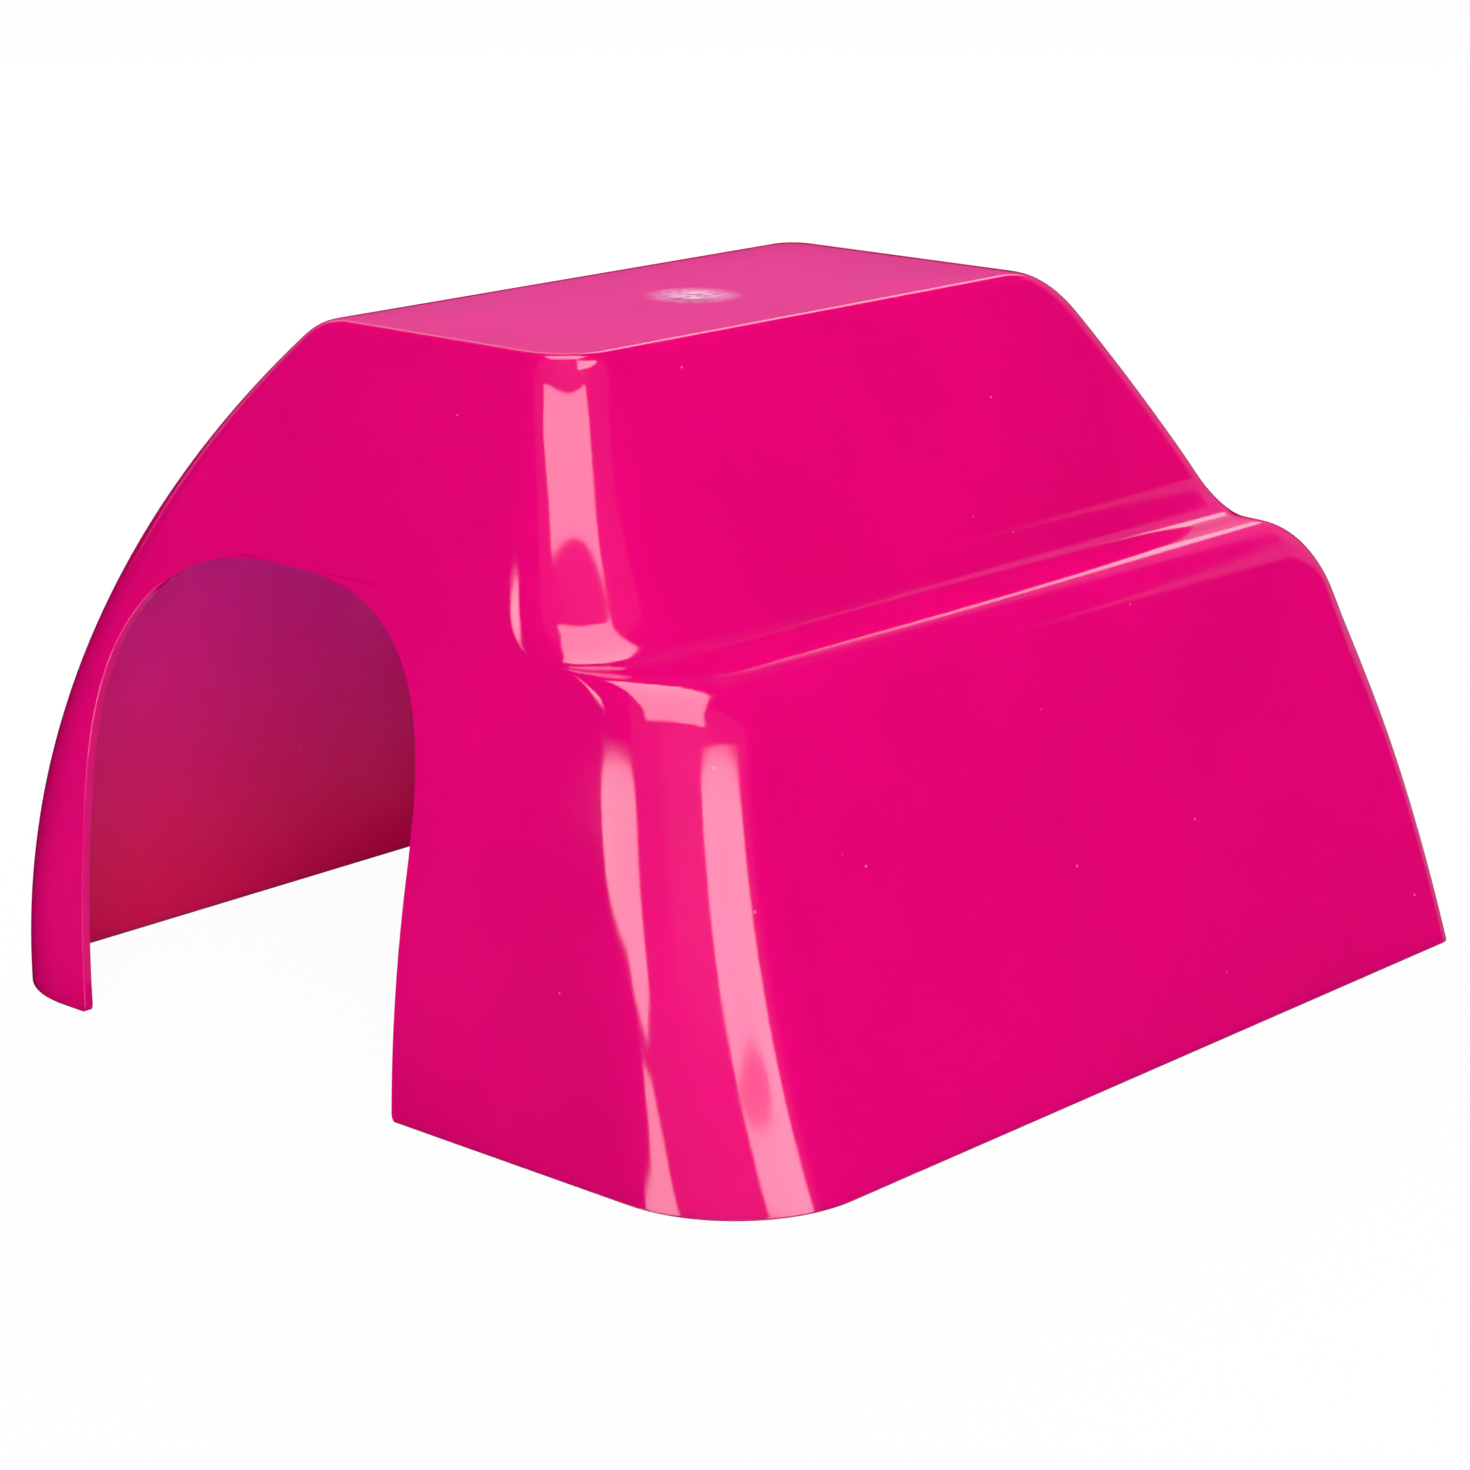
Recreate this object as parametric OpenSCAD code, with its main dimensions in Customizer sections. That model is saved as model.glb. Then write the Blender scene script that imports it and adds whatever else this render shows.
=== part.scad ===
// Guinea pig house moulded as one thin plastic shell with an open bottom.
// Frame: millimetres, the foot stands on z = 0 and its middle is at x = 0, y = 0.
// The doorway looks along -Y, the stepped side along +X, the bowed side along -X.

/* [Foot] */
// Length of the foot from the door wall to the back wall
foot_length = 260; // [250:1:275]
// Width of the foot from the bowed side to the stepped side
foot_width = 247; // [240:1:262]

/* [Roof] */
// Height of the flat roof above the floor
roof_height = 162; // [157:1:174]
// Length of the roof between its own sharp front and back edges
roof_length = 164.5; // [152:0.5:174]
// Distance of the roof's middle toward the door wall
roof_forward = 5; // [-4:0.5:12]
// Width of the roof between its sharp side edges
roof_width = 78; // [72:0.5:86]
// Distance of the roof's middle toward the stepped side
roof_sideways = -4.5; // [-8:0.5:2]
// Radius of the roof's front edge and of its edge to the stepped side
roof_edge_radius = 3; // [2.6:0.1:4.5]
// Radius of the roof's edge to the bowed side
roof_far_radius = 15.5; // [6:0.5:20]
// Radius of the roof's back edge
roof_back_radius = 22.5; // [10:0.5:26]

/* [Walls] */
// Thickness of the moulded wall
wall_thickness = 2.3; // [1.8:0.1:2.5]
// Bow of the far side wall away from a straight line
far_wall_bow = 16.5; // [10:0.5:22]
// Bow of the door wall away from a straight line
door_wall_bow = 11; // [5:0.5:14]
// Bow of the back wall away from a straight line
back_wall_bow = 11.5; // [5:0.5:16]

/* [Corners] */
// Plan radius of the two front corners at the foot
front_corner_foot_radius = 32.5; // [24:0.5:38]
// Plan radius of the bowed side's front corner at the roof
far_corner_roof_radius = 4; // [3.5:0.5:12]
// Plan radius of the stepped side's front corner at the step
near_corner_step_radius = 24; // [16:0.5:26]
// Plan radius of the stepped side's front corner at the roof
near_corner_roof_radius = 8.5; // [5:0.5:14]
// Plan radius of the two back corners
back_corner_radius = 6; // [4:0.5:12]

/* [Side step] */
// Distance from the middle to the step's sharp outer edge
step_outer_x = 92.5; // [88:0.5:97]
// Height of the step's sharp outer edge
step_height = 103.5; // [96:0.5:108]
// Width of the step between its sharp edges
step_width = 25.5; // [24:0.5:28]
// Rise of the step from its outer edge to its inner edge
step_rise = 0.9; // [0.4:0.1:2]
// Radius of the step's rounded outer edge
step_edge_radius = 15.5; // [8:0.5:17]
// Radius of the hollow between the step and the upper wall
step_hollow_radius = 16; // [8:0.5:17]
// Radius at which the step's back end rolls down into the back wall
step_back_radius = 16.5; // [8:0.5:20]

/* [Doorway] */
// Distance of the doorway's middle toward the stepped side, with the bowed side negative
doorway_sideways = -31; // [-34:0.5:-20]
// Width of the doorway at the floor
doorway_floor_width = 103; // [90:1:108]
// Width of the doorway where its arch springs
doorway_arch_width = 106.5; // [94:0.5:110]
// Height where the arch springs
doorway_arch_start = 58; // [45:1:70]
// Height of the top of the doorway
doorway_height = 111.5; // [100:0.5:116]
// Fullness of the arch, where 2 is an ellipse
doorway_arch_fullness = 2.6; // [2:0.1:3]
// Radius of the rounded foot of each door jamb
doorway_foot_radius = 1.5; // [1:0.1:3]

/* [Moulding mark] */
// Diameter of the shallow dish on the roof
mark_diameter = 18; // [12:0.5:22]
// Depth of the shallow dish
mark_depth = 0.4; // [0.2:0.05:0.6]
// Diameter of the small nub in the dish
nub_diameter = 4; // [2.5:0.1:6]
// Distance of the dish from the roof's middle toward the back wall
mark_back = -5; // [-20:0.5:30]
// Distance of the dish from the roof's middle toward the stepped side
mark_sideways = 3.5; // [-8:0.5:8]

/* [Hidden] */
shell_color = [0.84, 0.02, 0.4];
front_steps = 9;
back_steps = 5;
jamb_steps = 6;
arch_steps = 12;
upper_steps = 5;
bend_steps = 6;
dish_steps = 3;
round_steps = 4;
jamb_margin = 1;
row_gap = 0.12;
roll_steps = 4;
roll_turn = 60;
half_length = foot_length / 2;
half_width = foot_width / 2;
roof_front_y = roof_length / 2 + roof_forward;
roof_back_y = roof_length / 2 - roof_forward;
roof_near_x = roof_width / 2 + roof_sideways;
roof_far_x = roof_width / 2 - roof_sideways;
step_inner_x = step_outer_x - step_width;
inner_edge_least = 0.5;
roll_foot = step_height - step_back_radius * (1 - cos(roll_turn));
roll_full_x = step_inner_x - back_corner_radius - 4;
roll_fade_x = roll_full_x - 30;

// Radius of the arc through the foot and the roof edge with the given bow
function arc_radius(foot, top, bow) =
    let(chord = norm([foot - top, roof_height])) (chord * chord / 4 + bow * bow) / (2 * bow);

// Middle of that arc, as distance and height
function arc_middle(foot, top, bow) =
    let(
        chord = norm([foot - top, roof_height]),
        reach = arc_radius(foot, top, bow) - bow
    )
    [
        (foot + top) / 2 - reach * roof_height / chord,
        roof_height / 2 - reach * (foot - top) / chord
    ];

// Distance of a bowed wall from the middle at one height, moved in by inset
function bowed_wall(foot, top, bow, z, inset) =
    let(middle = arc_middle(foot, top, bow), r = arc_radius(foot, top, bow) - inset)
    middle[0] + sqrt(r * r - pow(z - middle[1], 2));

// Lean of a bowed wall where it meets the roof, from upright
function lean_at_roof(foot, top, bow) =
    let(middle = arc_middle(foot, top, bow))
    atan2(roof_height - middle[1], top - middle[0]);

// Bowed wall with its rounded edge to the roof
function rounded_wall(foot, top, bow, edge, z, inset) =
    let(
        r = max(edge - inset, inner_edge_least),
        lean = lean_at_roof(foot, top, bow),
        tangent = r * tan((90 - lean) / 2),
        drop = tangent * cos(lean),
        below = max(roof_height - inset - z, 0),
        corner = bowed_wall(foot, top, bow, roof_height - inset, inset)
    )
    below >= drop
        ? bowed_wall(foot, top, bow, z, inset)
        : corner - (tangent - sqrt(max(2 * r * below - below * below, 0)));

function far_wall(z, inset) =
    rounded_wall(half_width, roof_far_x, far_wall_bow, roof_far_radius, z, inset);
function door_wall(z, inset) =
    rounded_wall(half_length, roof_front_y, door_wall_bow, roof_edge_radius, z, inset);
function back_wall(z, inset) =
    rounded_wall(half_length, roof_back_y, back_wall_bow, roof_back_radius, z, inset);

// Unit vector from one point to another
function toward(a, b) = (b - a) / norm(b - a);

// Crossing of the line through a along u with the line through b along v
function crossing(a, u, b, v) =
    let(gap = b - a) a + u * ((gap[0] * v[1] - gap[1] * v[0]) / (u[0] * v[1] - u[1] * v[0]));

// Points of a rounded bend of radius r at b between the straights to a and c
function bend(a, b, c, r) =
    let(
        u = toward(b, a),
        v = toward(b, c),
        half = acos(u * v) / 2,
        middle = b + toward([0, 0], u + v) * r / sin(half),
        start = b + u * r / tan(half) - middle,
        finish = b + v * r / tan(half) - middle,
        from = atan2(start[1], start[0]),
        swing = atan2(
            start[0] * finish[1] - start[1] * finish[0],
            start[0] * finish[0] + start[1] * finish[1]
        )
    )
    [for (i = [0 : bend_steps])
        let(t = from + swing * i / bend_steps) middle + r * [cos(t), sin(t)]];

// Profile of the stepped side from the foot to the roof, moved in by inset
function stepped_profile(inset) =
    let(
        foot = [half_width, 0],
        outer = [step_outer_x, step_height],
        inner = [step_inner_x, step_height + step_rise],
        top = [roof_near_x, roof_height],
        u1 = toward(foot, outer),
        u2 = toward(outer, inner),
        u3 = toward(inner, top),
        a1 = foot + inset * [-u1[1], u1[0]],
        a2 = outer + inset * [-u2[1], u2[0]],
        a3 = inner + inset * [-u3[1], u3[0]],
        p0 = crossing(a1, u1, [0, 0], [1, 0]),
        p1 = crossing(a1, u1, a2, u2),
        p2 = crossing(a2, u2, a3, u3),
        p3 = crossing(a3, u3, [0, roof_height - inset], [1, 0])
    )
    concat(
        [p0],
        bend(p0, p1, p2, step_edge_radius - inset),
        bend(p1, p2, p3, step_hollow_radius + inset),
        bend(p2, p3, p3 - [20, 0], max(roof_edge_radius - inset, inner_edge_least))
    );

// Distance of the stepped side from the middle at one height of its profile
function along(profile, z) = lookup(z, [for (p = profile) [p[1], p[0]]]);

// Numbers in rising order
function sorted(v) =
    len(v) < 2 ? v
    : let(m = v[floor(len(v) / 2)])
        concat(
            sorted([for (x = v) if (x < m) x]),
            [m],
            sorted([for (x = v) if (x > m) x])
        );

// Rising numbers without those that follow the one kept before by less than gap
function spaced(v, gap, i = 0, last = -1000) =
    i >= len(v) ? []
    : v[i] - last < gap
        ? spaced(v, gap, i + 1, last)
        : concat([v[i]], spaced(v, gap, i + 1, v[i]));

// Half width of the doorway at one height
function jamb(z) =
    z <= doorway_arch_start
        ? (doorway_floor_width
            + (doorway_arch_width - doorway_floor_width) * z / doorway_arch_start) / 2
            + (z < doorway_foot_radius
                ? doorway_foot_radius
                    - sqrt(pow(doorway_foot_radius, 2) - pow(doorway_foot_radius - z, 2))
                : 0)
        : let(rise = min((z - doorway_arch_start) / (doorway_height - doorway_arch_start), 0.9995))
            doorway_arch_width / 2
            * pow(1 - pow(rise, doorway_arch_fullness), 1 / doorway_arch_fullness);

// Heights that the outer and the inner skin share, from the floor to the doorway's crown
function shared_heights(outer, inner) =
    let(
        foot = [for (i = [0 : 3]) doorway_foot_radius * (1 - cos(30 * i))],
        jambs = [for (i = [1 : jamb_steps]) doorway_arch_start * i / jamb_steps],
        arch = [for (i = [1 : arch_steps - 1])
            doorway_arch_start + (doorway_height - doorway_arch_start) * sin(90 * i / arch_steps)],
        bends = [for (p = concat(outer, inner)) if (p[1] > 3 && p[1] < doorway_height - 0.2) p[1]]
    )
    concat(
        spaced(sorted(concat(foot, jambs, arch, bends)), row_gap),
        [doorway_height]
    );

// Heights of one skin above the doorway's crown
function upper_heights(profile) =
    let(
        top = profile[len(profile) - 1][1],
        brow = profile[len(profile) - 1 - bend_steps][1],
        even = [for (i = [1 : upper_steps]) doorway_height + (brow - doorway_height) * i / upper_steps],
        bends = [for (p = profile) if (p[1] > doorway_height + 0.2 && p[1] < top - 0.02) p[1]],
        deep = max(roof_far_radius, roof_back_radius) * 0.6,
        rounds = [for (i = [1 : round_steps]) top - deep * pow(i / round_steps, 2)]
    )
    concat(spaced(sorted(concat(even, bends, rounds)), row_gap), [top]);

// Plan radius of the bowed side's front corner at one height
function far_corner(z, inset) =
    front_corner_foot_radius
    + (far_corner_roof_radius - front_corner_foot_radius) * z / roof_height
    - inset;

// Plan radius of the stepped side's front corner, steady near the step and tighter at the roof
function near_corner(z, inset) =
    let(
        low = max(1 - z / step_height, 0),
        high = max((z - step_height) / (roof_height - step_height), 0)
    )
    near_corner_step_radius
    + (front_corner_foot_radius - near_corner_step_radius) * pow(low, 2)
    + (near_corner_roof_radius - near_corner_step_radius) * pow(high, 4)
    - inset;

// Quarter circle of points in plan at one height
function quarter(x, y, r, z, start, steps) =
    [for (i = [0 : steps])
        let(t = start + 90 * i / steps) [x + r * cos(t), y + r * sin(t), z]];

// Smooth change from 0 to 1 while x goes from a to b
function eased(x, a, b) = let(t = min(max((x - a) / (b - a), 0), 1)) t * t * (3 - 2 * t);

// How far a point of the step sinks at one y, where the step rolls down into the back wall
function roll_drop(y, inset) =
    let(
        r = step_back_radius - inset,
        ahead = max(y - (back_wall(roll_foot, inset) - r * sin(roll_turn)), 0)
    )
    r - sqrt(r * r - pow(min(ahead, r * sin(roll_turn)), 2));

// Share of that sinking that a level takes: none low on the wall, all on the step, none above
function roll_share(z, inset) =
    let(
        edge_start = step_height - step_edge_radius * 0.75,
        hollow_top = step_height + step_hollow_radius * 0.75 + 4
    )
    eased(z, edge_start - 55, edge_start) * (1 - eased(z, step_height - inset - 0.5, hollow_top));

// Point of a level outline after the step's back end has rolled down
function rolled(p, near, back, rb, z, inset) =
    let(
        fade = eased(p[0], roll_fade_x, roll_full_x),
        drop = roll_drop(p[1], inset) * roll_share(z, inset) * fade,
        side = 1 - eased(near - p[0], 0, rb),
        behind = eased(p[1], back - rb, back)
    )
    [
        p[0] + drop * side * (half_width - step_outer_x) / step_height,
        p[1] + behind * (back_wall(z - drop, inset) - back),
        z - drop
    ];

// One level outline of the shell, whose first two points are the jambs of the doorway
function level(near, z, inset) =
    let(
        far = far_wall(z, inset),
        front = door_wall(z, inset),
        back = back_wall(z, inset),
        rb = back_corner_radius - inset,
        above = min(max((z - doorway_height) / 6, 0), 1),
        half = jamb(min(z, doorway_height)),
        rn = near_corner(z, inset),
        beside_jamb = far + doorway_sideways - half - jamb_margin,
        rf = min(far_corner(z, inset), z < doorway_height ? beside_jamb : foot_width),
        left = (doorway_sideways - half) * (1 - above) + (0.65 * (rf - far) + 0.35 * (near - rn)) * above,
        right = (doorway_sideways + half) * (1 - above) + (0.35 * (rf - far) + 0.65 * (near - rn)) * above,
        run = step_back_radius * sin(roll_turn) - rb + 3,
        back_near = concat(
            [for (i = [0 : roll_steps - 1]) [near, back - rb - run * (1 - i / roll_steps), z]],
            quarter(near - rb, back - rb, rb, z, 0, back_steps),
            [for (i = [1 : roll_steps])
                let(fade_x = roll_full_x + (roll_fade_x - roll_full_x) * (i - 1) / (roll_steps - 1))
                [min(fade_x, near - rb - 3 * i), back, z]]
        )
    )
    concat(
        [[left, -front, z], [right, -front, z]],
        quarter(near - rn, rn - front, rn, z, 270, front_steps),
        [for (p = back_near) rolled(p, near, back, rb, z, inset)],
        quarter(rb - far, back - rb, rb, z, 90, back_steps),
        quarter(rf - far, rf - front, rf, z, 180, front_steps)
    );

// One circle of the moulding mark, with as many points as a level outline
function mark_ring(r, z, count) =
    [for (i = [0 : count - 1])
        let(t = 360 * (i + 0.5) / count - 90)
        [
            roof_sideways + mark_sideways + r * cos(t),
            mark_back - roof_forward + r * sin(t),
            z
        ]];

// Circles of the shallow dish and of the nub that stands in it
function mark_rings(count) =
    let(ball = (pow(mark_diameter / 2, 2) + mark_depth * mark_depth) / (2 * mark_depth))
    concat(
        [for (i = [0 : dish_steps])
            let(r = mark_diameter / 2 + (nub_diameter - mark_diameter) / 2 * i / dish_steps)
            mark_ring(r, roof_height - mark_depth + ball - sqrt(ball * ball - r * r), count)],
        [mark_ring(nub_diameter / 2 - mark_depth / 2, roof_height - mark_depth / 2, count)]
    );

// Two triangles between four corners that run round a patch
function patch(a, b, c, d) = [[a, b, c], [a, c, d]];

// The whole shell as one closed skin: outside, inside, foot rim and doorway reveal
module moulded_shell() {
    outer_profile = stepped_profile(0);
    inner_profile = stepped_profile(wall_thickness);
    shared = shared_heights(outer_profile, inner_profile);
    outer_levels = [for (z = concat(shared, upper_heights(outer_profile)))
        level(along(outer_profile, z), z, 0)];
    count = len(outer_levels[0]);
    outside = concat(outer_levels, mark_rings(count));
    inside = [for (z = concat(shared, upper_heights(inner_profile)))
        level(along(inner_profile, z), z, wall_thickness)];
    crown = len(shared) - 1;
    out_rows = len(outside);
    in_rows = len(inside);
    first = out_rows * count;
    total = first + in_rows * count;
    points = concat(
        [for (ring = concat(outside, inside)) for (q = ring) q],
        [
            [roof_sideways + mark_sideways, mark_back - roof_forward, roof_height - mark_depth / 2],
            [roof_sideways, -roof_forward, roof_height - wall_thickness]
        ]
    );
    foot_rim = [for (j = [1 : count - 1])
        let(k = (j + 1) % count)
        each patch(j, k, first + k, first + j)];
    // Rows of patches run from the foot up, the outside and the inside by turns
    walls = [for (i = [0 : out_rows - 2])
        let(a = i * count, b = a + count, c = first + a, d = c + count)
        each concat(
            [for (j = [(i < crown ? 1 : 0) : count - 1])
                let(k = (j + 1) % count)
                each patch(a + j, b + j, b + k, a + k)],
            i > in_rows - 2 ? []
            : [for (j = [(i < crown ? 1 : 0) : count - 1])
                let(k = (j + 1) % count)
                each patch(c + j, c + k, d + k, d + j)],
            i >= crown ? []
            : concat(patch(a, b, d, c), patch(a + 1, c + 1, d + 1, b + 1)),
            i != crown ? [] : patch(a, a + 1, c + 1, c)
        )];
    ceiling_face = [for (j = [0 : count - 1])
        let(k = (j + 1) % count, a = first + (in_rows - 1) * count)
        [a + j, a + k, total + 1]];
    nub_face = [for (j = [0 : count - 1])
        let(k = (j + 1) % count, a = (out_rows - 1) * count)
        [a + k, a + j, total]];
    polyhedron(points = points, faces = concat(foot_rim, walls, ceiling_face, nub_face));
}

module house_shell() {
    color(shell_color) moulded_shell();
}

house_shell();
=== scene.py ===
# %% [markdown]
# # A guinea pig house moulded in pink plastic
#
# The real house is one injection moulding: a thin skin with an open bottom, an arched doorway,
# a flat roof and a long step down one side. There is nothing else on it, no screw and no joint.
# So the whole lesson is about one surface, its finish, and the light that makes it look glossy.
#
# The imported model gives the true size. It is loaded first, and everything here is in metres in
# the same frame: the foot stands on z = 0, the doorway looks along -Y and the step is on +X.

import bpy
import numpy as np
from mathutils import Matrix, Vector


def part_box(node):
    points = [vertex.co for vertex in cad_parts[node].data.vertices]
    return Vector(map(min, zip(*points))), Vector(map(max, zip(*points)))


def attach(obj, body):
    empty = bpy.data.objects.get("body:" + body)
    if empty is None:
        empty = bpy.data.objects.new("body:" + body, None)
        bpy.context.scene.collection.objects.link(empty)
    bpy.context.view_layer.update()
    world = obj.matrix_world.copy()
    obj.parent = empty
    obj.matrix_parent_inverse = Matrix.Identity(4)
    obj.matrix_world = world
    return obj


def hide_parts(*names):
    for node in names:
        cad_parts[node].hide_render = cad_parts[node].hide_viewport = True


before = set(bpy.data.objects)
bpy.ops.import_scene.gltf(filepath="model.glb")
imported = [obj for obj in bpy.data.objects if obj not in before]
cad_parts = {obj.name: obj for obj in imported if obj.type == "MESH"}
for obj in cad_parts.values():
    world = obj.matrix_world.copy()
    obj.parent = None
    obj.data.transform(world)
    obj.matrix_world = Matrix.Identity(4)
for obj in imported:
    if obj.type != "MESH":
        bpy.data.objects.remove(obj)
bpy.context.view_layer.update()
lowest, highest = (np.array(corner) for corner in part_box("house_shell"))
half_width, half_length = (highest[:2] - lowest[:2]) / 2
roof_height = highest[2]
print("house", 2 * half_width, "wide", 2 * half_length, "long", roof_height, "high")

# %% [markdown]
# ## The sizes that shape the skin
#
# A moulding like this is designed from a few outlines. Three of its walls are bowed like a
# barrel, and each is one circular arc from the foot to the roof. The fourth wall has the step,
# drawn as straights with rounded bends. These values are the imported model's own, in metres,
# so that the fine skin lies on it. Only the front corner beside the step differs a little: its
# radii here were found from the shape of the bright strip that it mirrors.

# %% Sizes of the roof, the walls and the step
wall = 0.0023
roof_front, roof_back = 0.08725, 0.07725
roof_near, roof_far = 0.0345, 0.0435
sharp_edge, far_edge, back_edge = 0.003, 0.0155, 0.0225
far_bow, door_bow, back_bow = 0.0165, 0.011, 0.0115
front_corner_foot, back_corner = 0.0325, 0.006
far_corner_roof, near_corner_step, near_corner_roof = 0.004, 0.0245, 0.011
corner_pinch, pinch_share, tightening = 0.004, 0.5, 14
step_outer, step_inner = 0.0925, 0.067
step_height, step_rise = 0.1035, 0.0009
step_edge, step_hollow, step_back = 0.0155, 0.016, 0.0165
print("roof", roof_near + roof_far, "wide", roof_front + roof_back, "long")

# %% Sizes of the doorway
door_middle = -0.031
door_half_floor, door_half_arch = 0.0515, 0.05325
arch_start, door_height = 0.058, 0.1115
arch_fullness, arch_end = 2.6, 0.99995
jamb_foot = 0.0015
print("doorway", door_height, "high, its middle at x =", door_middle)

# %% [markdown]
# ## The bowed walls
#
# A bowed wall could be a spline with a few hand-placed points, but then its wall thickness
# and its round to the roof would only be about right. A circle through the foot and the roof
# edge needs one number, its bow, and a second circle that touches it from inside and touches
# the roof gives the rounded edge. Moved in by the wall's thickness, both stay circles round
# the same middles, so the inside of the shell comes from the same function.


# %% Bowed wall with its rounded edge to the roof
def bowed_wall(foot, top, bow, edge, z, inset=0.0):
    """Distance of the wall from the middle at the heights z, moved in by inset.

    The wall is the circle through (foot, 0) and (top, roof height) that stands bow away from
    the straight line between them. The edge is the circle of radius edge that touches that
    circle from inside and touches the roof. Above the point where they touch, the edge counts.
    """
    chord = np.hypot(foot - top, roof_height)
    radius = (chord**2 / 4 + bow**2) / (2 * bow)
    reach = radius - bow
    middle_x = (foot + top) / 2 - reach * roof_height / chord
    middle_z = roof_height / 2 - reach * (foot - top) / chord
    edge_z = roof_height - edge
    edge_x = middle_x + np.sqrt((radius - edge) ** 2 - (edge_z - middle_z) ** 2)
    touch = middle_z + (radius - inset) * (edge_z - middle_z) / (radius - edge)
    on_wall = middle_x + np.sqrt((radius - inset) ** 2 - (z - middle_z) ** 2)
    on_edge = edge_x + np.sqrt(np.maximum((edge - inset) ** 2 - (z - edge_z) ** 2, 0))
    return np.where(z > touch, on_edge, on_wall)


# %% The three bowed walls of this house
def far_wall(z, inset=0.0):
    """Distance of the plain side wall from the middle, toward -X."""
    return bowed_wall(half_width, roof_far, far_bow, far_edge, z, inset)


def door_wall(z, inset=0.0):
    """Distance of the wall with the doorway from the middle, toward -Y."""
    return bowed_wall(half_length, roof_front, door_bow, sharp_edge, z, inset)


def back_wall(z, inset=0.0):
    """Distance of the back wall from the middle, toward +Y."""
    return bowed_wall(half_length, roof_back, back_bow, back_edge, z, inset)


for name, wall_at in (("far", far_wall), ("door", door_wall), ("back", back_wall)):
    print(name, "wall at the foot, half way up and at the roof:",
          wall_at(np.array([0, roof_height / 2, roof_height])).round(4))

# %% [markdown]
# ## The stepped side
#
# The step is what makes this house more than a box: a guinea pig climbs onto it. Its section
# is four straights (lower wall, tread, upper wall, roof) with a round of its own at each
# bend. Each straight is moved in by the wall's thickness and crossed with the next one. So a
# convex bend loses the thickness from its radius, the hollow gains it, and the wall keeps
# the same thickness all the way up, as a moulded wall does.


# %% Straights and bends of the stepped side
def crossing(a, u, b, v):
    """Point where the line through a along u meets the line through b along v."""
    gap = b - a
    return a + u * (gap[0] * v[1] - gap[1] * v[0]) / (u[0] * v[1] - u[1] * v[0])


def bend(a, b, c, radius, steps):
    """Points of the arc of the given radius that touches the straights from b to a and to c.

    Its middle lies on the line that halves the corner, radius / sin(half the angle) from b.
    """
    u = (a - b) / np.linalg.norm(a - b)
    v = (c - b) / np.linalg.norm(c - b)
    half = np.arccos(u @ v) / 2
    middle = b + (u + v) / np.linalg.norm(u + v) * radius / np.sin(half)
    start = b + u * radius / np.tan(half) - middle
    finish = b + v * radius / np.tan(half) - middle
    swing = np.arctan2(start[0] * finish[1] - start[1] * finish[0], start @ finish)
    turn = np.arctan2(start[1], start[0]) + swing * np.linspace(0, 1, steps + 1)
    return middle + radius * np.stack([np.cos(turn), np.sin(turn)], axis=1)


def stepped_profile(inset=0.0, steps=18):
    """Section of the stepped side from the foot to the roof as rows of (x, z)."""
    corners = np.array([[half_width, 0], [step_outer, step_height],
                        [step_inner, step_height + step_rise], [roof_near, roof_height]])
    along = np.diff(corners, axis=0)
    along /= np.linalg.norm(along, axis=1, keepdims=True)
    moved = corners[:3] + inset * np.stack([-along[:, 1], along[:, 0]], axis=1)
    level_x = np.array([1.0, 0.0])
    foot = crossing(moved[0], along[0], np.zeros(2), level_x)
    outer = crossing(moved[0], along[0], moved[1], along[1])
    inner = crossing(moved[1], along[1], moved[2], along[2])
    top = crossing(moved[2], along[2], np.array([0, roof_height - inset]), level_x)
    return np.vstack([
        foot,
        bend(foot, outer, inner, step_edge - inset, steps),
        bend(outer, inner, top, step_hollow + inset, steps),
        bend(inner, top, top - level_x, sharp_edge - inset, steps),
    ])


outer_section, inner_section = stepped_profile(), stepped_profile(wall)
print("stepped side", len(outer_section), "points, tread", step_outer - step_inner, "wide")

# %% [markdown]
# ## The doorway
#
# Its jambs lean apart a little and end in an arch that is fuller than an ellipse. A
# superellipse has one number for that fullness: 2 is an ellipse, and larger is squarer. The
# foot of each jamb is rounded where the cut ends, so that nothing scratches the animal.


# %% Half width of the doorway at each height
def jamb(z):
    """Half width of the doorway at the heights z.

    Up to the arch it runs straight from the floor's half width to the arch's, and flares by a
    quarter round at the floor. In the arch it is half * (1 - rise^n)^(1/n), with rise from 0
    to 1 and n the fullness. The rise stops just short of 1, so the two jambs keep a few
    millimetres between them at the crown, which one face closes.
    """
    leaning = door_half_floor + (door_half_arch - door_half_floor) * z / arch_start
    inside = np.clip(jamb_foot - z, 0, jamb_foot)
    flare = jamb_foot - np.sqrt(jamb_foot**2 - inside**2)
    rise = np.clip((z - arch_start) / (door_height - arch_start), 0, arch_end)
    arch = door_half_arch * (1 - rise**arch_fullness) ** (1 / arch_fullness)
    return np.where(z < arch_start, leaning + flare, arch)


print("doorway", 2 * jamb(np.array([0.02, arch_start, 0.1])).round(4), "wide going up")

# %% [markdown]
# ## Where the step runs out at the back
#
# In the photo the tread doesn't end in a sharp end wall: its last centimetre or two rolls
# down into the back wall, while the hollow beside it stays. One way is to model that end as
# its own patch, but a patch shows as a seam in the gloss. Here the same outlines simply sink:
# a point goes down by what a circle falls away ahead of its top, and the sinking fades out
# down the wall, above the tread and across the back.


# %% Smooth fades and the roll at the step's back end
roll_turn = np.radians(60)
roll_foot = step_height - step_back * (1 - np.cos(roll_turn))
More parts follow.
